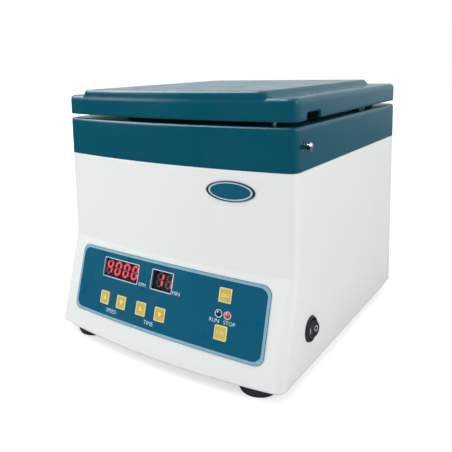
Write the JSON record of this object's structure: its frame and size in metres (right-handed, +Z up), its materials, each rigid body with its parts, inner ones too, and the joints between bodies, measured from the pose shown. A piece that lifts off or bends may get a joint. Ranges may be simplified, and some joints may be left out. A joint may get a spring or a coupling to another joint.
{
  "type": "butterfat centrifuge",
  "caption": "Bench centrifuge with a sloping control panel, a hinged lid, a chamber bowl, a fixed-angle rotor on a motor, a lid latch, push keys and a rocker switch.",
  "frame": {"origin": "on the table plane under the middle of the case", "axes": "+Z up, the sloping control panel faces -Y, +X is the right side with the rocker switch and the latch knob"},
  "size_m": [0.2641, 0.316, 0.2515],
  "materials": {
    "case_white": "gloss",
    "shell_teal": "gloss",
    "panel_film": "satin",
    "key_yellow": "satin",
    "window_tint": "gloss",
    "lamp": "gloss",
    "black_plastic": "matte",
    "board_green": "satin",
    "rubber_black": "matte",
    "steel": "brushed",
    "steel_painted": "satin",
    "chrome": "polished",
    "cast_aluminium": "satin",
    "magnet": "matte",
    "winding": "satin"
  },
  "bodies": {
    "case": {"housing": "case_white", "base_plate": "steel", "rubber_feet": "rubber_black", "collar": "shell_teal", "chamber_bowl": "steel", "support_pillars": "steel", "rubber_dampers": "rubber_black", "mount_plate": "steel", "motor_can": "steel_painted", "motor_end_cap": "cast_aluminium", "motor_flange": "cast_aluminium", "motor_magnets": "magnet", "upper_bearing": "steel", "lower_bearing": "steel", "hinge_fixed_leaves": "steel", "hinge_pins": "steel", "latch_guide": "black_plastic", "lid_switch": "black_plastic", "panel_overlay": "panel_film", "speed_window": "window_tint", "time_window": "window_tint", "speed_display": "black_plastic", "time_display": "black_plastic", "status_lamps": "lamp", "key_switches": "black_plastic", "control_board": "board_green", "switch_bezel": "black_plastic", "power_inlet": "black_plastic", "fuse_holder": "black_plastic", "power_supply": "winding"},
    "rotor": {"motor_shaft": "steel", "motor_armature": "winding", "rotor_head": "cast_aluminium", "tube_sleeve_1": "steel", "tube_sleeve_2": "steel", "tube_sleeve_3": "steel", "tube_sleeve_4": "steel", "tube_sleeve_5": "steel", "tube_sleeve_6": "steel", "rotor_nut": "black_plastic"},
    "lid": {"lid_shell": "shell_teal", "lid_liner": "black_plastic", "lid_seal": "rubber_black", "lid_pads": "rubber_black", "lid_striker": "steel", "hinge_moving_leaves": "steel"},
    "latch": {"latch_rod": "steel", "latch_knob": "chrome"},
    "rocker": {"switch_rocker": "black_plastic"},
    "key_speed_up_body": {"key_speed_up": "key_yellow"},
    "key_speed_down_body": {"key_speed_down": "key_yellow"},
    "key_time_up_body": {"key_time_up": "key_yellow"},
    "key_time_down_body": {"key_time_down": "key_yellow"},
    "key_on_body": {"key_on": "key_yellow"},
    "key_off_body": {"key_off": "key_yellow"}
  },
  "joints": [
    {"name": "lid_hinge", "type": "hinge", "parent": "case", "child": "lid", "pos_m": [0, 0.1388, 0.225], "axis": [-1, 0, 0], "range_deg": [0, 95]},
    {"name": "rotor_spin", "type": "hinge", "parent": "case", "child": "rotor", "pos_m": [0, -0.006, 0.203], "axis": [0, 0, 1], "continuous": true},
    {"name": "latch_slide", "type": "slide", "parent": "case", "child": "latch", "axis": [1, 0, 0], "range_m": [-0.003, 0]},
    {"name": "rocker_tilt", "type": "hinge", "parent": "case", "child": "rocker", "pos_m": [0.1274, -0.106, 0.046], "axis": [0, 0, 1], "range_deg": [0, 24]},
    {"name": "key_speed_up_press", "type": "slide", "parent": "case", "child": "key_speed_up_body", "axis": [0.0885, 0.9544, -0.2852], "range_m": [0, 0.0003], "stiffness_N_per_m": 1500, "springref_m": -0.0002},
    {"name": "key_speed_down_press", "type": "slide", "parent": "case", "child": "key_speed_down_body", "axis": [0.0571, 0.9566, -0.2859], "range_m": [0, 0.0003], "stiffness_N_per_m": 1500, "springref_m": -0.0002},
    {"name": "key_time_up_press", "type": "slide", "parent": "case", "child": "key_time_up_body", "axis": [0.0217, 0.9579, -0.2863], "range_m": [0, 0.0003], "stiffness_N_per_m": 1500, "springref_m": -0.0002},
    {"name": "key_time_down_press", "type": "slide", "parent": "case", "child": "key_time_down_body", "axis": [-0.0096, 0.9581, -0.2863], "range_m": [0, 0.0003], "stiffness_N_per_m": 1500, "springref_m": -0.0002},
    {"name": "key_on_press", "type": "slide", "parent": "case", "child": "key_on_body", "axis": [-0.0974, 0.9536, -0.285], "range_m": [0, 0.0003], "stiffness_N_per_m": 1500, "springref_m": -0.0002},
    {"name": "key_off_press", "type": "slide", "parent": "case", "child": "key_off_body", "axis": [-0.0974, 0.9536, -0.285], "range_m": [0, 0.0003], "stiffness_N_per_m": 1500, "springref_m": -0.0002}
  ]
}
